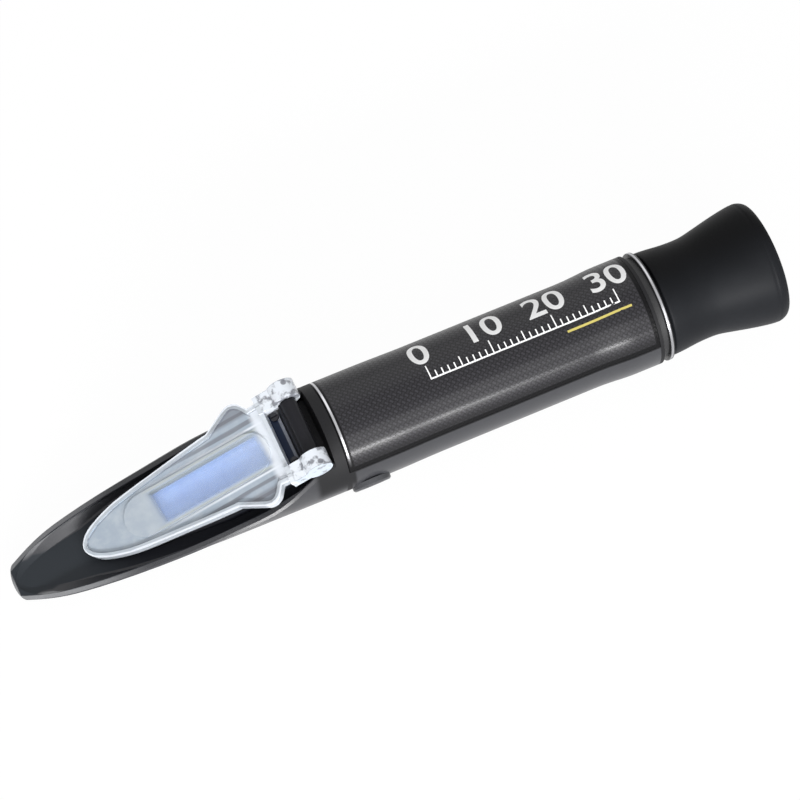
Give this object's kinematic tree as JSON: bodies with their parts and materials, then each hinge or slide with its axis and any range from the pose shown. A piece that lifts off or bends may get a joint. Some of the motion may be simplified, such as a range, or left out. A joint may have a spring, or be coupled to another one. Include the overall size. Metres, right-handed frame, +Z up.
{
  "type": "handheld refractometer",
  "caption": "Hand-held prism refractometer: slanted prism nose under a clear hinged plate, round barrel with scale adjuster, turning eyepiece with flared rubber eyecup.",
  "frame": {"origin": "on the bench, under the optical axis and midway along the instrument", "axes": "+X along the optical axis from the prism nose towards the eyecup, +Z up out of the prism stage"},
  "size_m": [0.2048, 0.032, 0.0333],
  "materials": {
    "shell_paint": "satin dark grey paint",
    "panel_weave": "dark woven look under clear gloss",
    "frame_black": "black anodised",
    "seal_black": "matt",
    "screw_steel": "blackened",
    "prism_glass": "polished",
    "plate_clear": "clear, finely frosted below",
    "guide_brass": "plain",
    "inner_black": "matt black",
    "lens_glass": "coated",
    "trim_bright": "bright",
    "guide_nylon": "natural",
    "eyecup_rubber": "matt, faintly blue sheen"
  },
  "bodies": {
    "housing": {"body_shell": "shell_paint", "grip_panel": "panel_weave", "prism_frame": "frame_black", "frame_gasket": "seal_black", "frame_screws": "screw_steel", "main_prism": "prism_glass", "prism_seal": "seal_black", "hinge_pin": "screw_steel", "adjuster_bush": "frame_black", "adjuster_guide": "guide_brass", "lens_tube": "inner_black", "field_stop": "inner_black", "reticle": "lens_glass", "reticle_ring": "inner_black", "tube_screws": "screw_steel", "tube_o_ring": "seal_black", "guide_screw": "screw_steel", "trim_ring": "trim_bright"},
    "cover_plate": {"daylight_plate": "plate_clear"},
    "adjuster": {"adjuster_screw": "screw_steel", "adjuster_o_ring": "seal_black"},
    "lens_carriage": {"adjuster_slide": "guide_brass", "bimetal_strip": "screw_steel", "strip_screws": "screw_steel", "lens_cell": "inner_black", "objective_lens": "lens_glass", "objective_ring": "inner_black"},
    "focus_carrier": {"drag_ring": "guide_nylon"},
    "eyepiece": {"ocular_barrel": "inner_black", "field_lens": "lens_glass", "lens_spacer": "inner_black", "eye_lens": "lens_glass", "eye_lens_ring": "inner_black", "eyepiece_o_ring": "seal_black", "eyecup": "eyecup_rubber"}
  },
  "joints": [
    {"name": "plate_hinge", "type": "hinge", "parent": "housing", "child": "cover_plate", "pos_m": [-0.0255, 0, 0.0298], "axis": [0, 1, 0], "range_deg": [0, 130]},
    {"name": "adjuster_turn", "type": "hinge", "parent": "housing", "child": "adjuster", "pos_m": [-0.0121, 0, 0.016], "axis": [0, -0.9511, -0.309], "range_deg": [-45, 45]},
    {"name": "objective_shift", "type": "slide", "parent": "housing", "child": "lens_carriage", "axis": [0, -0.309, 0.9511], "range_m": [-0.000353, 0.000353]},
    {"name": "focus_slide", "type": "slide", "parent": "housing", "child": "focus_carrier", "axis": [1, 0, 0], "range_m": [0, 0.0025]},
    {"name": "focus_turn", "type": "hinge", "parent": "focus_carrier", "child": "eyepiece", "pos_m": [0.0678, 0, 0.016], "axis": [1, 0, 0], "range_deg": [0, 300]}
  ],
  "couplings": [
    {"joint": "adjuster_turn", "follows": "objective_shift", "rad_per_m": 2221.4},
    {"joint": "focus_slide", "follows": "focus_turn", "m_per_rad": 0.00047746}
  ]
}
